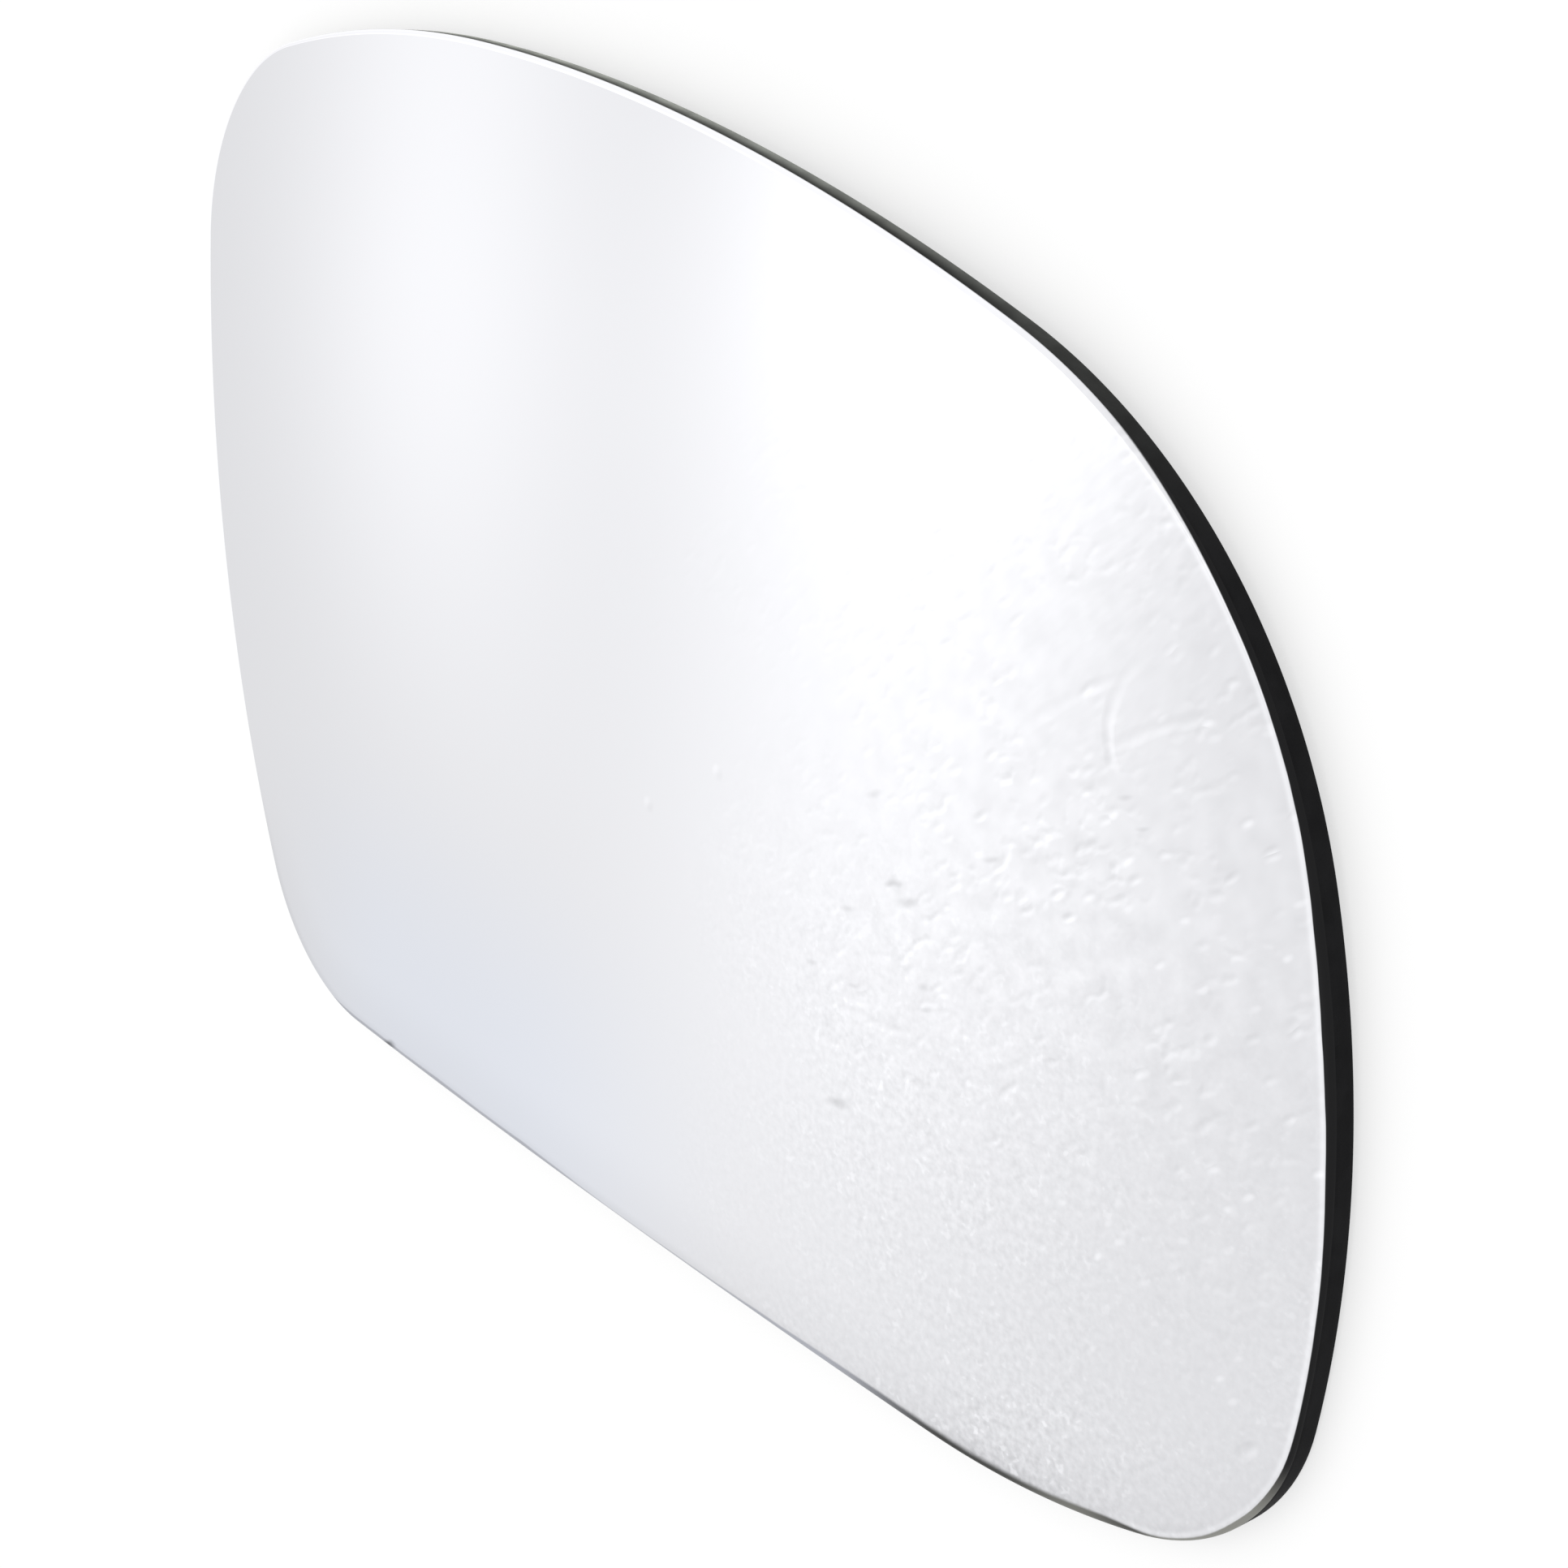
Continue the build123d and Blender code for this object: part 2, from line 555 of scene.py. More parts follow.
def plain_mesh(name, plate_tree, values):
    """Plain mesh of a node tree with the given inputs, as an object at the origin."""
    carrier = bpy.data.objects.new(name + "_carrier", bpy.data.meshes.new(name + "_carrier"))
    bpy.context.scene.collection.objects.link(carrier)
    modifier = carrier.modifiers.new("plate", "NODES")
    modifier.node_group = plate_tree.tree
    for key, value in values.items():
        modifier[plate_tree.identifiers[key]] = value
    depsgraph = bpy.context.evaluated_depsgraph_get()
    mesh = bpy.data.meshes.new_from_object(carrier.evaluated_get(depsgraph), depsgraph=depsgraph)
    carrier.modifiers.remove(modifier)
    bpy.data.objects.remove(carrier)
    mesh.name = name
    piece = bpy.data.objects.new(name, mesh)
    bpy.context.scene.collection.objects.link(piece)
    return piece


# Materials of the plate

# Reflection of ground glass, on the margin of the face and on the edge
MARGIN_SHEEN = 0.1
EDGE_SHEEN = 0.02
# Where ground glass turns from black, with painted shade, to pale, with painted sheen, in millimetres along X
PALE_INWARDS = (66.0, -26.0)


def new_material(name):
    """Empty material, and the graph of its nodes."""
    material = bpy.data.materials.new(name)
    material.use_nodes = True
    return material, Graph(material.node_tree)


def finish_material(graph, sockets):
    """Give a material its surface, a Principled shader with the given sockets."""
    shader = graph.add("ShaderNodeBsdfPrincipled", None, sockets)
    graph.add("ShaderNodeOutputMaterial", None, {"Surface": shader})


def bumped(graph, height):
    """Normal of a surface that stands up by a height."""
    return graph.add("ShaderNodeBump", None, {"Height": height, "Distance": 1.0, "Strength": 1.0})


def edge_colour(graph, finish, x):
    """Black with painted shade along the outer side, grey green with painted sheen towards the inner side."""
    return graph.mix(x.mapped(*PALE_INWARDS), rgba(finish.edge_colour), rgba(finish.pale_edge_colour))


# Film on the face, in millimetres. A range is the value at which something sets in and the value at which
# it is whole, and may have its strength at both. A bell is its middle and its spread. Noise is its scale,
# in marks per millimetre, and its detail.

# Furrows as painted light and dark sides, by their start, a point between, their end and their strength
FURROWS = (
    ((59.5, 19.7), (57.0, 13.5), (58.4, 9.6), 1.3),
    ((49.3, 11.2), (53.3, 14.7), (57.8, 17.7), 1.0),
    ((57.2, 11.8), (61.6, 14.8), (66.1, 17.0), 1.0),
    ((54.8, 8.0), (56.5, 8.5), (58.0, 9.4), 1.0),
    ((29.9, -19.0), (36.0, -18.9), (41.7, -17.9), 1.0),
    ((28.0, -19.5), (29.7, -20.0), (31.3, -20.1), 0.6),
    ((29.7, -22.8), (32.0, -22.7), (34.2, -22.1), 0.6),
    ((44.1, -29.5), (47.0, -28.9), (49.9, -27.7), 0.6),
    ((78.0, -38.3), (78.9, -37.0), (79.6, -36.1), 1.2),
)
FURROW_REACH = 0.75
FURROW_STRENGTH = 0.6
FURROW_PATCHES = (0.0, 1.0, 0.7, 1.4)
# How far from its middle a furrow has run out, and how far it is whole, in half lengths
FURROW_ENDS = (1.15, 0.6)

# Dark specks, by their middle, half length and darkness. The last one is a nick in the lower rim.
SPECKS = (
    ((37.3, -6.1), 1.0, 0.26),
    ((39.4, -6.9), 1.3, 0.19),
    ((34.1, 0.6), 1.0, 0.12),
    ((32.4, -10.1), 0.9, 0.15),
    ((28.8, -16.4), 0.8, 0.14),
    ((33.8, -16.7), 0.8, 0.13),
    ((42.1, -13.5), 1.0, 0.15),
    ((42.4, -15.3), 0.9, 0.13),
    ((33.5, -27.8), 1.5, 0.2),
    ((47.4, -0.4), 0.9, 0.16),
    ((59.4, 8.8), 0.7, 0.12),
    ((61.5, 6.9), 0.7, 0.12),
    ((-38.5, -53.2), 1.5, 0.7),
)
SPECK_SLANT = radians(20)
SPECK_SQUEEZE = 0.34
# How far from its middle a speck has faded out, in half lengths
SPECK_REACH = 1.4

# Small blisters as painted light and dark sides, by their middles
BLISTERS = (
    (5.5, -9.9),
    (14.7, -3.8),
)
BLISTER_SPREAD = 0.4

# Direction that wrinkles and pits are drawn out in, and the side of a mark that is painted bright
SLANT = radians(42)
SQUEEZE = 0.5
LIT_SIDE = (0.8, -0.6)
DARK_SIDE_STRENGTH = 0.75
PAINTED_MARK_STRENGTH = 0.093
WRINKLE_NOISE = (0.9, 1.5)
WRINKLE_BAND = (0.5, 0.8)
WRINKLE_HALF_WIDTH = 0.22
WRINKLE_PATCHES = (0.38, 0.62)

# Pits' painted shading and painted glints, which lie on scattered points, each with its own chance
PIT_SCALE = 0.5
PIT_SPREAD = 0.25
PIT_CHANCE = (0.35, 1.0)
PIT_STRENGTH = 1.7
# How far from its middle a pit or blister has faded out, in spreads
PIT_REACH = 2.4
GLINT_SIZE = (0.2, 0.03)
GLINT_CHANCE = (0.55, 1.0)
PAINTED_GLINT_STRENGTH = 1.5

# Dips, which bend what the film reflects
DIP_NOISE = (1.0, 0.5)
DIP_SQUEEZE = 0.45
DIPPED_OUTWARDS = (0.0, 55.0)

# Slow noise, and how far marks stray and their borders drift with it
PATCH_NOISE = (0.13, 2.0)
CLOUD_NOISE = (0.4, 1.0)
CLOUD_STRENGTH = 0.12
STRAY = 0.55
DRIFT_NOISE = (0.03, 1.0)
DRIFT = 50.0

# Where the film is rumpled, with ovals by the bells of their width and height and their change
RUMPLED_OUTWARDS = (3.0, 57.0)
RUMPLED_UPWARDS = (-42.0, -3.0)
RUMPLED_TOP = (40.0, 14.0, 0.5, 1.0)
RUMPLED_OVALS = (
    ((53.0, 9.0), (-4.0, 12.0), 0.8),
    ((60.0, 5.0), (15.0, 5.5), -0.75),
)

# Where the film has painted glints
GLINTING_OUTWARDS = (46.0, 62.0)
GLINTING_TOP = (30.0, 10.0)
GLINTING_BOTTOM = (-44.0, -30.0)

# Where the film is grainy, and what its grain is made of
GRAINY_OUTWARDS = (8.0, 42.0)
GRAINY_DOWNWARDS = (10.0, -30.0)
GRAINY_OUTER_SIDE = (78.0, 54.0, 0.3, 1.0)
GRAINY_PATCHES = (0.7, 0.3, 0.6, 1.0)
GRAINY_RIM = (14.0, 2.0, 1.0, 1.8)
GRAINY_ROUGHNESS = 0.05
SPECKLE_NOISE = (1.3, 2.0)
SPECKLE_STRENGTH = 0.27
GRAIN_NOISE = (2.1, 0.0)
GRAIN_STRENGTH = 0.09
FLECK_SCALE = 0.62
FLECK_CHANCE = (0.55, 1.0, 0.0, 0.3)
FLECK_RAGGEDNESS = 0.8
FLECK_SOFTNESS = (0.0, 0.16)
FLECK_STRENGTH = 0.08

# Width of the margin that the film leaves bare along the outer side, and along the bottom
OUTER_MARGIN = (37.0, 24.0, 0.0, 0.3)
OUTER_MARGIN_START = (0.0, 20.0)
SIDE_SWELL, SIDE_SWELL_WIDTH = (-2.0, 10.0), 0.4
LOW_SWELL, LOW_SWELL_WIDTH = (-42.5, 3.0), 0.14
BOTTOM_MARGIN = (-42.0, -49.0)
INNER_STRETCH = (4.0, -14.0, 0.36, 0.68)
INNER_STRETCH_END = (-56.0, -46.0)
HEEL_STRETCH = (8.0, 44.0, 0.0, 0.5)
HEEL_STRETCH_END = (66.0, 72.5, 0.0, 0.52)
CORNER_STRETCH = (76.0, 80.0, 0.0, 0.36)
MARGIN_WOBBLE = 0.3
MARGIN_SOFTNESS = 0.04
BOTTOM_SOFTNESS = 0.08
HEEL_BLUR, HEEL_SOFTNESS = (53.0, 7.0), 0.25
MARGIN_ROUGHNESS = 0.3

# Colour of the bare margin along the bottom: painted reflection, grey at the outer corner, blue towards the
# inner one
FROSTED_DOWNWARDS = (-36.0, -43.0)
GREY_CORNER = (69.5, 73.5, 0.0, 0.62)
GREY_PATCH, GREY_PATCH_STRENGTH = (63.5, 3.2), 0.38
BLUE_INWARDS = (49.5, 33.0)

# Shade towards the lower rim
LOWER_RIM = (-30.0, -46.0)
DULL_BAND = (9.0, 0.5, 0.0, 0.05)
DULL_LINE = (1.6, 0.4, 0.0, 0.08)
DULL_HEEL = (3.5, 0.6, 0.0, 0.09)
HEEL = (56.0, 8.0)

# Painted highlights: bright line next to the bare margin, bright bevel along the top, and bright inner corner
LINE, PAINTED_LINE_STRENGTH = (0.26, 0.17), 0.15
LINE_OUTWARDS = (40.0, 60.0)
LINE_UPWARDS = (-46.0, -36.0)
LINE_CORNER = (67.0, 70.0)
BEVEL_RIM = (0.52, 0.44)
BEVEL_LEAN = 0.5
BEVEL_UPWARDS = (5.0, 25.0)
PAINTED_BEVEL_STRENGTH = 0.3
INNER_CORNER_INWARDS = (-38.0, -58.0)
INNER_CORNER_DOWNWARDS = (-20.0, -40.0)
INNER_CORNER_RIM = (0.5, 0.1, -0.02, 0.13)

# Where the film looks cool
COOL_INWARDS = (25.0, -15.0)
COOL_INNER_SIDE = (-72.0, -36.0)
COOL_DOWNWARDS = (-16.0, -46.0)


def arc_through(start, between, end):
    """Centre and radius of the arc through three points, the direction of its middle, half its chord."""
    first, second, third = (np.array(point) for point in (start, between, end))
    rows = 2 * np.array((second - first, third - first))
    squares = np.array((second @ second - first @ first, third @ third - first @ first))
    centre = np.linalg.solve(rows, squares)
    radius = np.linalg.norm(first - centre)
    middle = (first + third) / 2 - centre
    middle /= np.linalg.norm(middle)
    return centre, radius, middle, np.linalg.norm(third - first) / 2


def furrow(place, start, between, end, strength):
    """Painted light and dark side of a furrow along an arc, which runs out at its ends."""
    centre, radius, outwards, half_length = arc_through(start, between, end)
    across = place.vector("DISTANCE", (*centre, 0.0))["Value"]
    sides = across.mapped(radius - FURROW_REACH, radius + FURROW_REACH, -pi, pi, "LINEAR").math("SINE")
    along = place.vector("DISTANCE", (*(centre + outwards * radius), 0.0))["Value"]
    run_out, whole = half_length * np.array(FURROW_ENDS)
    return sides * along.mapped(run_out, whole, 0.0, FURROW_STRENGTH * strength * (outwards @ LIT_SIDE))


def pit(off, lit_side, spread):
    """Painted light and dark side of a round pit, by the way to its middle."""
    side = off.vector("DOT_PRODUCT", lit_side)["Value"]
    return side * off.vector("LENGTH")["Value"].mapped(PIT_REACH * spread, 0.0, 0.0, 1 / spread)


def drawn_out(graph, place, slant, squeeze):
    """Places turned and pressed so that round marks come out long."""
    values = {"Vector": place, "Rotation": (0.0, 0.0, slant), "Scale": (1 / squeeze, 1.0, 1.0)}
    return graph.add("ShaderNodeMapping", {"vector_type": "TEXTURE"}, values)


def drawn_point(point, slant, squeeze):
    """Where one point comes to lie when places are drawn out."""
    turned = Matrix.Rotation(-slant, 2) @ Vector(point)
    return Vector((turned.x * squeeze, turned.y, 0.0))


class FilmFace:
    """Places on the film, slow noise that its marks follow, and what is found where."""

    def __init__(self, graph):
        self.graph = graph
        coordinates = graph.add("ShaderNodeTexCoord")["Object"].scaled(1 / MM)
        axes = graph.add("ShaderNodeSeparateXYZ", None, {0: coordinates})
        self.x, self.y = axes["X"], axes["Y"]
        self.place = coordinates.vector("MULTIPLY", (1.0, 1.0, 0.0))
        self.rim = graph.add("ShaderNodeAttribute", {"attribute_name": "rim_distance"})["Fac"] * (1 / MM)
        self.patches = graph.noise(self.place, *PATCH_NOISE)
        self.clouds = graph.noise(self.place, *CLOUD_NOISE)
        stray = self.clouds["Color"].vector("SUBTRACT", (0.5, 0.5, 0.5))
        self.strayed = stray.vector("MULTIPLY_ADD", (STRAY, STRAY, 0.0), self.place)
        drift = (graph.noise(self.place, *DRIFT_NOISE) - 0.5) * DRIFT
        self.drifted_x, self.drifted_y = self.x + drift, self.y + drift

    def cells(self, place, scale):
        """Scattered points with a cell round each, and three chances for each cell."""
        values = {"Vector": place, "Scale": scale}
        cells = self.graph.add("ShaderNodeTexVoronoi", {"voronoi_dimensions": "2D"}, values)
        return cells, self.graph.add("ShaderNodeSeparateColor", None, {0: cells["Color"]})

    def rumpled(self):
        """Where the film has wrinkles and pits."""
        cover = self.drifted_x.mapped(*RUMPLED_OUTWARDS) * self.drifted_y.mapped(*RUMPLED_UPWARDS)
        cover = cover * self.y.mapped(*RUMPLED_TOP)
        for width, height, change in RUMPLED_OVALS:
            cover = cover * (self.x.bell(*width) * self.y.bell(*height) * change + 1.0)
        return cover

    def glinting(self):
        """Where the film has small painted glints."""
        upwards = self.y.mapped(*GLINTING_TOP) * self.y.mapped(*GLINTING_BOTTOM)
        return self.x.mapped(*GLINTING_OUTWARDS) * upwards

    def grainy(self):
        """Where the film has a fine grain."""
        cover = self.drifted_x.mapped(*GRAINY_OUTWARDS) * self.y.mapped(*GRAINY_DOWNWARDS)
        cover = cover * self.x.mapped(*GRAINY_OUTER_SIDE)
        return cover * self.patches.mapped(*GRAINY_PATCHES) * self.rim.mapped(*GRAINY_RIM)

    def wrinkles(self, drawn):
        """Painted light and dark sides of wrinkles."""
        aside = (0.0, WRINKLE_HALF_WIDTH, 0.0)
        near, far = (
            self.graph.noise(drawn.vector(way, aside), *WRINKLE_NOISE).mapped(*WRINKLE_BAND)
            for way in ("ADD", "SUBTRACT")
        )
        return near - far

    def blisters(self):
        """Painted light and dark sides of the small blisters."""
        offs = [self.place.vector("SUBTRACT", (*middle, 0.0)) for middle in BLISTERS]
        return sum(pit(off, (*LIT_SIDE, 0.0), BLISTER_SPREAD) for off in offs)

    def marks(self, rumpled):
        """Painted light and dark sides of wrinkles, pits, furrows and blisters, and small painted glints."""
        drawn = drawn_out(self.graph, self.strayed, SLANT, SQUEEZE)
        cells, chances = self.cells(drawn, PIT_SCALE)
        lit_side = drawn_point(LIT_SIDE, SLANT, SQUEEZE).normalized()
        pits = pit(drawn.vector("SUBTRACT", cells["Position"]), lit_side, PIT_SPREAD)
        pits = pits * chances["Red"].mapped(*PIT_CHANCE) * PIT_STRENGTH
        glints = cells["Distance"].mapped(*GLINT_SIZE) * chances["Blue"].mapped(*GLINT_CHANCE)
        glints = glints * self.glinting() * PAINTED_GLINT_STRENGTH
        patchy = self.patches.mapped(*WRINKLE_PATCHES)
        furrows = sum(furrow(self.strayed, *shape) for shape in FURROWS) * patchy.mapped(*FURROW_PATCHES)
        # Painted shading: light and dark sides of the marks, with painted glints
        painted_relief = (self.wrinkles(drawn) * patchy + pits) * rumpled + glints + furrows - self.blisters()
        return painted_relief.math("MAXIMUM", painted_relief * DARK_SIDE_STRENGTH) * PAINTED_MARK_STRENGTH

    def grain(self):
        """Light and dark of the grain, with pale flecks."""
        speckle = self.graph.noise(self.place, *SPECKLE_NOISE) - 0.5
        grain = self.graph.noise(self.place, *GRAIN_NOISE) - 0.5
        cells, chances = self.cells(self.place, FLECK_SCALE)
        size = chances["Green"].mapped(*FLECK_CHANCE) + grain * FLECK_RAGGEDNESS
        flecks = (size - cells["Distance"]).mapped(*FLECK_SOFTNESS)
        return speckle * SPECKLE_STRENGTH + grain * GRAIN_STRENGTH + flecks * FLECK_STRENGTH

    def specks(self):
        """Darkness of the specks."""
        drawn = drawn_out(self.graph, self.strayed, SPECK_SLANT, SPECK_SQUEEZE)
        dark = 0.0
        for middle, half_length, darkness in SPECKS:
            drawn_middle = drawn_point(middle, SPECK_SLANT, SPECK_SQUEEZE)
            reach = SPECK_REACH * half_length * SPECK_SQUEEZE
            distance = drawn.vector("DISTANCE", drawn_middle)["Value"]
            dark = distance.mapped(reach, 0.0, 0.0, darkness) + dark
        return dark

    def dipped(self, depth):
        """Normal of the film with its dips."""
        dips = self.graph.noise(drawn_out(self.graph, self.place, SLANT, DIP_SQUEEZE), *DIP_NOISE)
        return bumped(self.graph, dips * self.x.mapped(*DIPPED_OUTWARDS) * -depth)

    def margin(self):
        """Width of the margin that the film leaves bare, and how softly the film ends there."""
        x, y = self.x, self.y
        low = y.mapped(*BOTTOM_MARGIN)
        outer = y.mapped(*OUTER_MARGIN) + y.bell(*SIDE_SWELL) * SIDE_SWELL_WIDTH
        outer = (outer + y.bell(*LOW_SWELL) * LOW_SWELL_WIDTH) * x.mapped(*OUTER_MARGIN_START)
        bottom = x.mapped(*INNER_STRETCH) * x.mapped(*INNER_STRETCH_END) + x.mapped(*HEEL_STRETCH)
        bottom = bottom - x.mapped(*HEEL_STRETCH_END) + x.mapped(*CORNER_STRETCH)
        wobble = self.patches * MARGIN_WOBBLE + (1.0 - MARGIN_WOBBLE / 2)
        softness = low * (x.bell(*HEEL_BLUR) * HEEL_SOFTNESS + BOTTOM_SOFTNESS) + MARGIN_SOFTNESS
        return (outer * (1.0 - low) + bottom * low) * wobble, softness

    def rim_shade(self, margin):
        """Darker near the lower rim, painted highlights by the margin, on the bevel and at the inner corner.
        """
        x, y, rim = self.x, self.y, self.rim
        dull = rim.mapped(*DULL_BAND) + rim.mapped(*DULL_LINE) + rim.mapped(*DULL_HEEL) * x.bell(*HEEL)
        # Painted highlights: a line beside the margin, the bevel along the top and the rim at the inner
        # corner
        beside = y.mapped(*LINE_UPWARDS).math("MAXIMUM", x.mapped(*LINE_CORNER)) * x.mapped(*LINE_OUTWARDS)
        line = (rim - margin).bell(*LINE) * beside * PAINTED_LINE_STRENGTH
        bevel = rim.mapped(*BEVEL_RIM) * (y - x * BEVEL_LEAN).mapped(*BEVEL_UPWARDS) * PAINTED_BEVEL_STRENGTH
        corner = x.mapped(*INNER_CORNER_INWARDS) * y.mapped(*INNER_CORNER_DOWNWARDS)
        return line + bevel + corner * rim.mapped(*INNER_CORNER_RIM) - dull * y.mapped(*LOWER_RIM)

    def film_colour(self, finish):
        """Colour of the film before its shade."""
        cool = self.x.mapped(*COOL_INWARDS) * self.x.mapped(*COOL_INNER_SIDE) * self.y.mapped(*COOL_DOWNWARDS)
        return self.graph.mix(cool, rgba(finish.film_colour), rgba(finish.cool_colour))

    def margin_colour(self, finish):
        """Colour of the ground glass where the film leaves it bare, with painted reflection towards the lower
        corners.
        """
        mix, x = self.graph.mix, self.x
        # Painted reflection: grey at the lower outer corner, pale blue towards the inner side
        grey = x.mapped(*GREY_CORNER) + x.bell(*GREY_PATCH) * GREY_PATCH_STRENGTH
        frost_and_painted_reflection = mix(grey, rgba(finish.frost_colour), rgba(finish.grey_frost_colour))
        frost_and_painted_reflection = mix(x.mapped(*BLUE_INWARDS), frost_and_painted_reflection, rgba(finish.blue_frost_colour))
        return mix(self.y.mapped(*FROSTED_DOWNWARDS), edge_colour(self.graph, finish, x), frost_and_painted_reflection)


def reflecting_film(finish):
    """Mirror film, smooth at the inner side, uneven at the outer side, with a bare ground margin."""
    material, graph = new_material("reflecting_film")
    face = FilmFace(graph)
    rumpled, grainy = face.rumpled(), face.grainy()
    margin, softness = face.margin()
    bare = ((face.rim - margin) / softness).mapped(1.0, -1.0)
    mottle = (face.clouds - 0.5) * CLOUD_STRENGTH
    # Shade: painted light and dark sides of marks, painted shade and highlights at the rim, the film's own
    # clouds and grain
    shade = face.marks(rumpled) + mottle * rumpled + face.grain() * grainy + face.rim_shade(margin)
    film = face.film_colour(finish).scaled(shade + 1.0)
    finish_material(graph, {
        "Base Color": graph.mix(bare, film, face.margin_colour(finish)).scaled(1.0 - face.specks()),
        "Metallic": 1.0 - bare,
        "Roughness": finish.film_roughness + grainy * GRAINY_ROUGHNESS + bare * MARGIN_ROUGHNESS,
        "Specular IOR Level": MARGIN_SHEEN,
        "Normal": face.dipped(finish.dip_depth),
    })
    return material


# Ground edge, in millimetres, with grinding marks drawn out along the rim
GRINDING_STRETCH = (0.06, 0.06, 1.0)
GRINDING_NOISE = (9.0, 2.0)
GRINDING_DEPTH = 0.004 * MM
EDGE_NOISE = (0.4, 3.0)
EDGE_PATCHES = (0.3, 0.7, 0.85, 1.2)
EDGE_LEVEL = 1.25
EDGE_ROUGHNESS = 0.5
EDGE_ROUGHNESS_RANGE = 0.2
# Painted shade at the front of the sheet turning to painted light at its back, and where along X the edge has
# it
PAINTED_SHADE_TO_LIGHT_BACKWARDS = (0.0, 1.0, -0.95, 0.75)
PAINTED_SHADE_TO_LIGHT_INWARDS = (50.0, 32.0)


def ground_edge(finish):
    """Ground glass with fine grinding marks along the rim; painted shade next to the film, painted light
    behind.
    """
    material, graph = new_material("ground_edge")
    place = graph.add("ShaderNodeTexCoord")["Object"].scaled(1 / MM)
    x = graph.add("ShaderNodeSeparateXYZ", None, {0: place})["X"]
    depth = graph.add("ShaderNodeAttribute", {"attribute_name": "sheet_depth"})["Fac"]
    grinding = graph.noise(place.vector("MULTIPLY", GRINDING_STRETCH), *GRINDING_NOISE, "3D")
    patches = graph.noise(place, *EDGE_NOISE, "3D")
    # Painted shade next to the film and painted light towards the back, along the inner side only
    fade = x.mapped(*PAINTED_SHADE_TO_LIGHT_INWARDS) * depth.mapped(*PAINTED_SHADE_TO_LIGHT_BACKWARDS) + EDGE_LEVEL
    finish_material(graph, {
        "Base Color": edge_colour(graph, finish, x).scaled(patches.mapped(*EDGE_PATCHES) * fade),
        "Roughness": EDGE_ROUGHNESS + patches * EDGE_ROUGHNESS_RANGE,
        "Specular IOR Level": EDGE_SHEEN,
        "Normal": bumped(graph, grinding * GRINDING_DEPTH),
    })
    return material


# Paint on the back, whose noise has its scale in marks per metre
PEEL_NOISE = (700.0, 2.0)
PEEL_DEPTH = 0.03 * MM
PAINT_NOISE = (40.0, 3.0)
PAINT_CLOUDS = (0.3, 0.7)
PAINT_PALENESS = 1.35
PAINT_ROUGHNESS = 0.48
PAINT_ROUGHNESS_RANGE = 0.16


def back_paint(finish):
    """Sprayed protective paint with a fine orange peel."""
    material, graph = new_material("back_paint")
    place = graph.add("ShaderNodeTexCoord")["Object"]
    peel = graph.noise(place, *PEEL_NOISE, "3D")
    clouds = graph.noise(place, *PAINT_NOISE, "3D")
    pale = tuple(channel * PAINT_PALENESS for channel in finish.paint_colour)
    finish_material(graph, {
        "Base Color": graph.mix(clouds.mapped(*PAINT_CLOUDS), rgba(finish.paint_colour), rgba(pale)),
        "Roughness": PAINT_ROUGHNESS + peel * PAINT_ROUGHNESS_RANGE,
        "Normal": bumped(graph, peel * PEEL_DEPTH),
    })
    return material


class MIRROR_GLASS_OT_plate(bpy.types.Operator):
    """Make the silvered plate with its ground edge and painted back"""

    bl_idname = "mirror_glass.plate"
    bl_label = "Make the glass plate"

    def execute(self, context):
        sizes = context.scene.mirror_glass_sizes
        finish = context.scene.mirror_glass_finish
        outline = outline_curve(sizes)
        plate = plain_mesh("silvered_plate", PlateTree(), {
            "Outline": outline,
            "Apex": sizes.apex,
            "Face radius": sizes.face_radius,
            "Thickness": sizes.thickness,
            "Bevel": sizes.bevel,
            "Roundness": sizes.roundness,
            "Cells": sizes.cells,
            "Film": reflecting_film(finish),
            "Ground edge": ground_edge(finish),
            "Back paint": back_paint(finish),
        })
        bpy.data.objects.remove(outline)
        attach(plate, "root")
        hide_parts("mirror_glass")
        return {"FINISHED"}


# Stage

FLOOR_SIDE = 6.0
FLOOR_DROP = 0.02 * MM
# Share of its colour that the floor shows to the camera, and the glow that makes it up to white
SHOWN_SHARE = 0.5
SHOWN_GLOW = 0.6
LOOK_AT = (23.54 * MM, -1.95 * MM, 5.6 * MM)
SENSOR = 36.0
NEAREST = 10 * MM
WHITE = (1.0, 1.0, 1.0, 1.0)

# Light tent, in degrees above the floor, and in degrees that the direction swings from the inner side
# towards the bottom edge. Ranges and bells are given as on the film.
DEGREES = 180 / pi
LAMPS_START = (-40.0, -12.0)
# Lamps at the inner side, by how steeply they hang, the bell of their height, and where they end
SIDE_LAMP = (0.213, (50.6, 7.8), (56.0, -6.0))
LOW_LAMP = (0.027, (30.9, 4.25), (34.6, 7.6))
TOP_LAMP = (58.0, 72.0)
CLOTH_LEVEL = 1.011
# Darker gap between the lamps
GAP_DEPTH = 0.26
GAP_UPWARDS = (20.0, 38.0, 0.27, 1.0)
GAP_TOP = (80.0, 64.0)
GAP_START = (-28.0, -4.0)
GAP_END = (40.0, 15.0)


def lamp_glow(elevation, swing, steepness, height, end):
    """Soft glow of a lamp that hangs lower the further it swings."""
    return (elevation + swing * steepness).bell(*height) * swing.mapped(*end) * swing.mapped(*LAMPS_START)


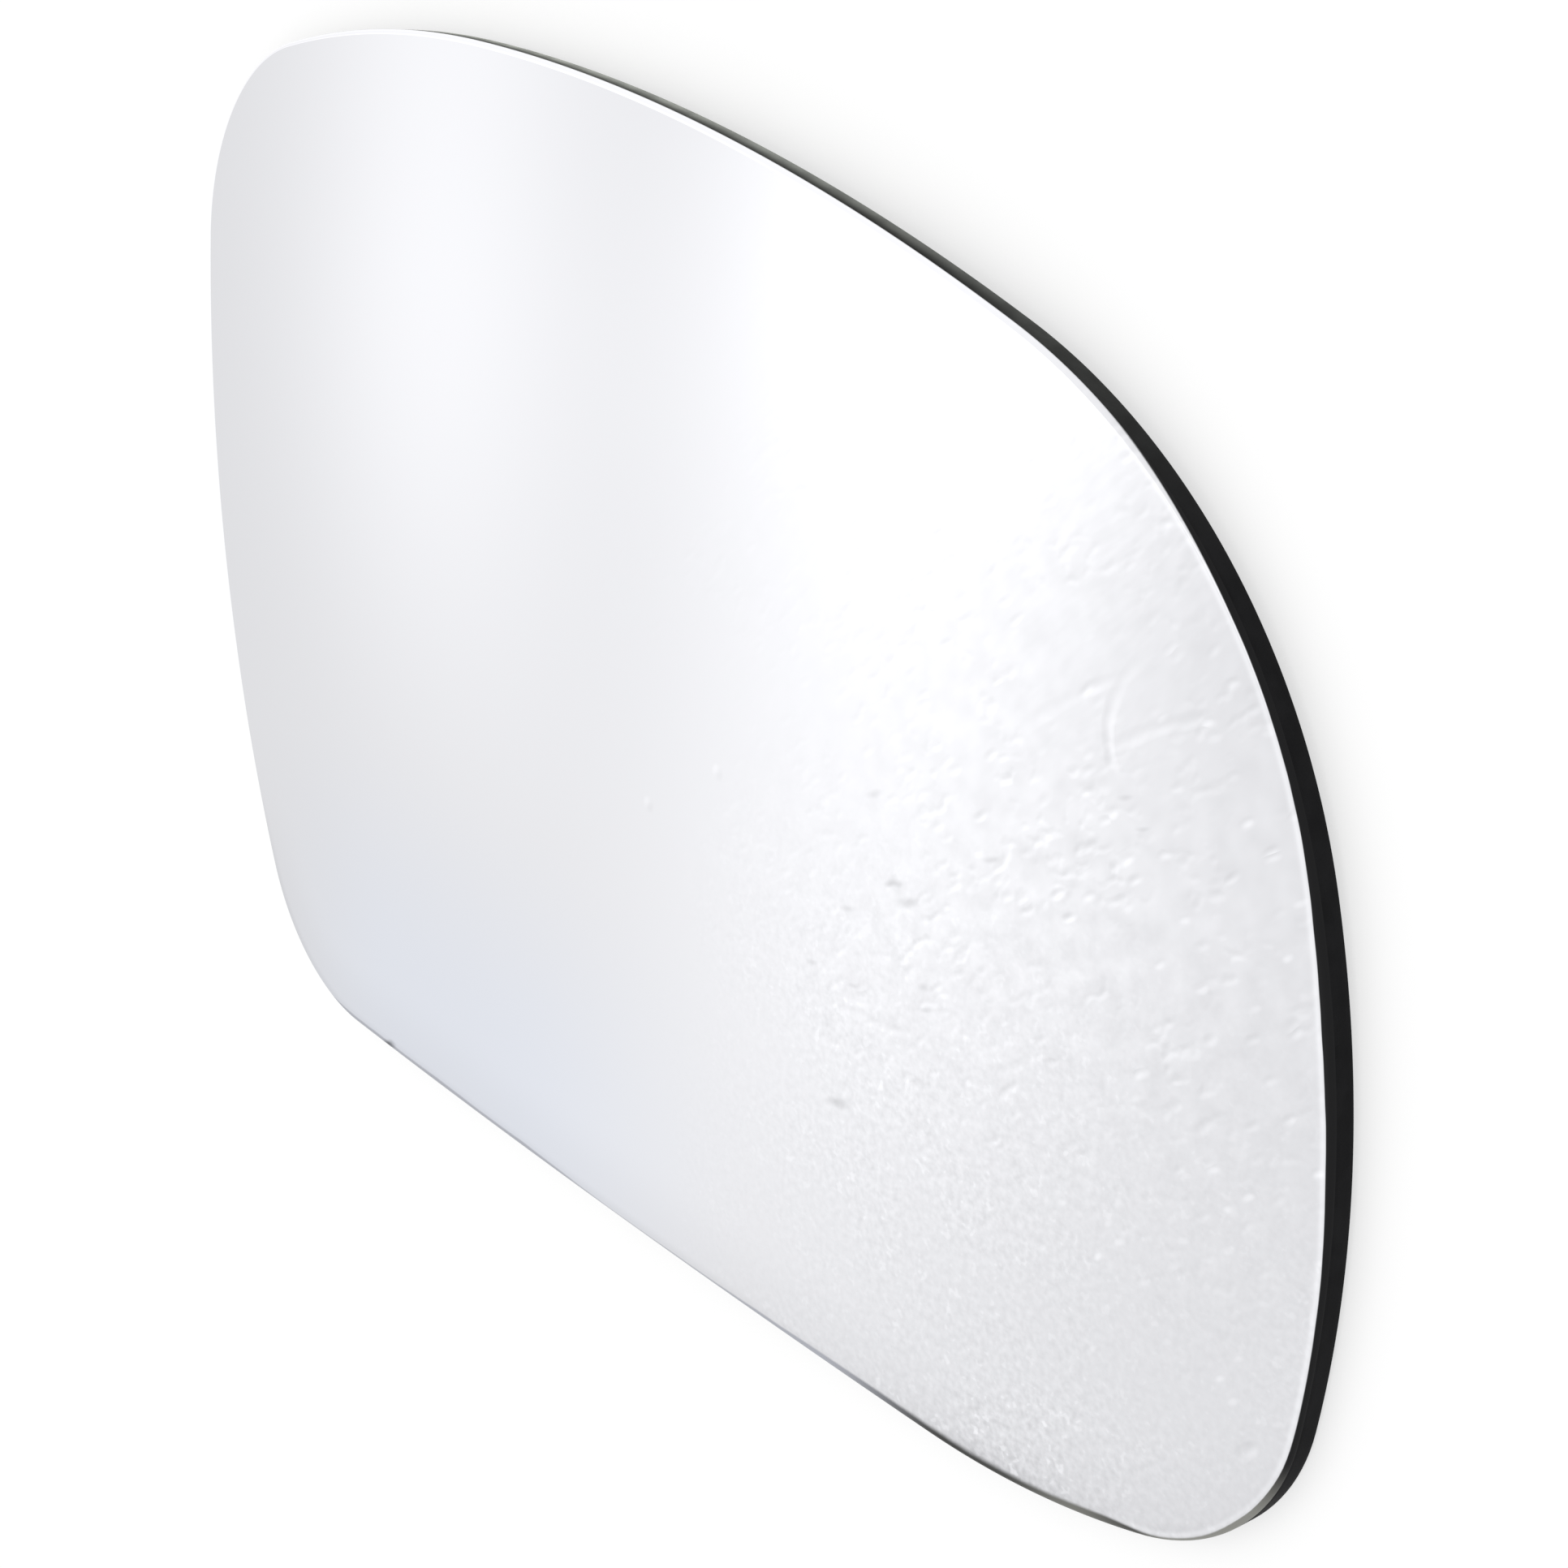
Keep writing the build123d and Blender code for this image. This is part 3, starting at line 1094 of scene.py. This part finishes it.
def light_tent(settings):
    """White cloth all round, with the soft glow of a lamp above and two at the inner side."""
    world = bpy.data.worlds.new("light_tent")
    world.use_nodes = True
    # The light comes from all sides, so reflected rays find it without being sent there
    world.cycles.sampling_method = "NONE"
    graph = Graph(world.node_tree)
    direction = graph.add("ShaderNodeTexCoord")["Generated"]
    axes = graph.add("ShaderNodeSeparateXYZ", None, {0: direction})
    elevation = axes["Z"].math("ARCSINE") * DEGREES
    swing = (-axes["Y"]).math("ARCTAN2", -axes["X"]) * DEGREES
    side = lamp_glow(elevation, swing, *SIDE_LAMP)
    low = lamp_glow(elevation, swing, *LOW_LAMP)
    top = elevation.mapped(*TOP_LAMP)
    gap = elevation.mapped(*GAP_UPWARDS) * elevation.mapped(*GAP_TOP)
    gap = gap * swing.mapped(*GAP_END) * swing.mapped(*GAP_START)
    cloth = (CLOTH_LEVEL - gap * GAP_DEPTH) * settings.tent_level
    level = cloth + side * settings.side_glow + low * settings.low_glow + top * settings.top_glow
    seen = graph.add("ShaderNodeLightPath")["Is Camera Ray"]
    background = {"Color": WHITE, "Strength": level * (1.0 - seen) + seen}
    graph.add("ShaderNodeOutputWorld", None, {"Surface": graph.add("ShaderNodeBackground", None, background)})
    return world


def pale_floor(settings):
    """Pale floor that looks white to the camera and keeps the shadow."""
    material, graph = new_material("pale_floor")
    material.cycles.emission_sampling = "NONE"
    light_path = graph.add("ShaderNodeLightPath")
    seen = light_path["Is Camera Ray"].math("MAXIMUM", light_path["Is Glossy Ray"])
    seen = seen.math("MAXIMUM", light_path["Is Transmission Ray"])
    shown = tuple(SHOWN_SHARE * channel for channel in settings.floor_colour)
    plain = graph.add("ShaderNodeBsdfDiffuse", None, {"Color": rgba(settings.floor_colour)})
    part = graph.add("ShaderNodeBsdfDiffuse", None, {"Color": rgba(shown)})
    glow = graph.add("ShaderNodeEmission", None, {"Color": WHITE, "Strength": SHOWN_GLOW})
    white = graph.add("ShaderNodeAddShader", None, {0: part, 1: glow})
    shader = graph.add("ShaderNodeMixShader", None, {0: seen, 1: plain, 2: white})
    graph.add("ShaderNodeOutputMaterial", None, {"Surface": shader})
    return material


def make_floor(settings):
    """Large square of floor just under the glass."""
    half = FLOOR_SIDE / 2
    corners = [(-half, -half), (half, -half), (half, half), (-half, half)]
    mesh = bpy.data.meshes.new("floor")
    mesh.from_pydata([(x, y, -FLOOR_DROP) for x, y in corners], [], [(0, 1, 2, 3)])
    mesh.materials.append(pale_floor(settings))
    floor = bpy.data.objects.new("floor", mesh)
    bpy.context.scene.collection.objects.link(floor)
    floor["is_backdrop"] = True


def make_camera(settings):
    """Camera that looks down at the glass, rolled so that its bottom edge lies low in the picture."""
    data = bpy.data.cameras.new("camera")
    data.sensor_width = SENSOR
    data.lens = settings.lens
    data.clip_start = NEAREST
    flat = cos(settings.elevation)
    towards = Vector((flat * cos(settings.azimuth), flat * sin(settings.azimuth), sin(settings.elevation)))
    camera = bpy.data.objects.new("camera", data)
    turn = (-towards).to_track_quat("-Z", "Y").to_matrix() @ Matrix.Rotation(settings.roll, 3, "Z")
    camera.matrix_world = Matrix.Translation(Vector(LOOK_AT) + towards * settings.distance) @ turn.to_4x4()
    bpy.context.scene.collection.objects.link(camera)
    bpy.context.scene.camera = camera


class MIRROR_GLASS_OT_stage(bpy.types.Operator):
    """Set up the light tent, the pale floor and the camera"""

    bl_idname = "mirror_glass.stage"
    bl_label = "Set up the stage"

    def execute(self, context):
        settings = context.scene.mirror_glass_tent
        context.scene.world = light_tent(settings)
        make_floor(settings)
        make_camera(settings)
        context.scene.view_settings.view_transform = "Standard"
        return {"FINISHED"}


class VIEW3D_PT_mirror_glass(bpy.types.Panel):
    """Steps and settings of the mirror glass"""

    bl_label = "Mirror Glass"
    bl_space_type = "VIEW_3D"
    bl_region_type = "UI"
    bl_category = "Mirror Glass"

    def draw(self, context):
        for operator in (MIRROR_GLASS_OT_plate, MIRROR_GLASS_OT_stage):
            self.layout.operator(operator.bl_idname)
        for name in SETTINGS:
            group = getattr(context.scene, name)
            column = self.layout.column(heading=group.bl_rna.description)
            for key in group.__annotations__:
                column.prop(group, key)


SETTINGS = {
    "mirror_glass_sizes": GlassSizes,
    "mirror_glass_finish": GlassFinish,
    "mirror_glass_tent": TentSettings,
}
CLASSES = (*SETTINGS.values(), MIRROR_GLASS_OT_plate, MIRROR_GLASS_OT_stage, VIEW3D_PT_mirror_glass)


def register():
    for item in CLASSES:
        bpy.utils.register_class(item)
    for name, group in SETTINGS.items():
        setattr(bpy.types.Scene, name, PointerProperty(type=group))


def unregister():
    for name in SETTINGS:
        delattr(bpy.types.Scene, name)
    for item in reversed(CLASSES):
        bpy.utils.unregister_class(item)


def main():
    register()
    bpy.ops.mirror_glass.plate()
    bpy.ops.mirror_glass.stage()
    boxes = {"cad": CAD_BOX, "visual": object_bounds()}
    {name: [list(corner) for corner in box] for name, box in boxes.items()}


if __name__ == "__main__":
    main()
